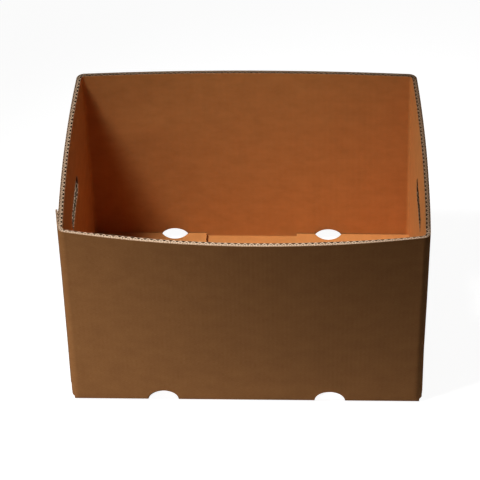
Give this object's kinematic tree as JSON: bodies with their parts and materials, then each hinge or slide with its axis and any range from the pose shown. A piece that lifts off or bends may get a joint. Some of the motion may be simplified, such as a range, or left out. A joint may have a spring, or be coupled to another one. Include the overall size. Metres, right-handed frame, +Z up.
{
  "type": "cardboard tray box",
  "caption": "Open-top half-slotted carton of double-wall corrugated board, glued at one corner, with hand holes in the end walls and half-round vents along the bottom folds.",
  "frame": {"origin": "centre of the footprint, on the surface the carton stands on", "axes": "+X along the long front wall, to the right seen from the front; the front wall faces -Y; +Z up out of the open top"},
  "size_m": [0.467, 0.3626, 0.288],
  "materials": {
    "kraft_board": "matt brown kraft paper with a lighter, open fluted cut edge"
  },
  "bodies": {
    "root": {"carton": "kraft_board"}
  },
  "joints": []
}
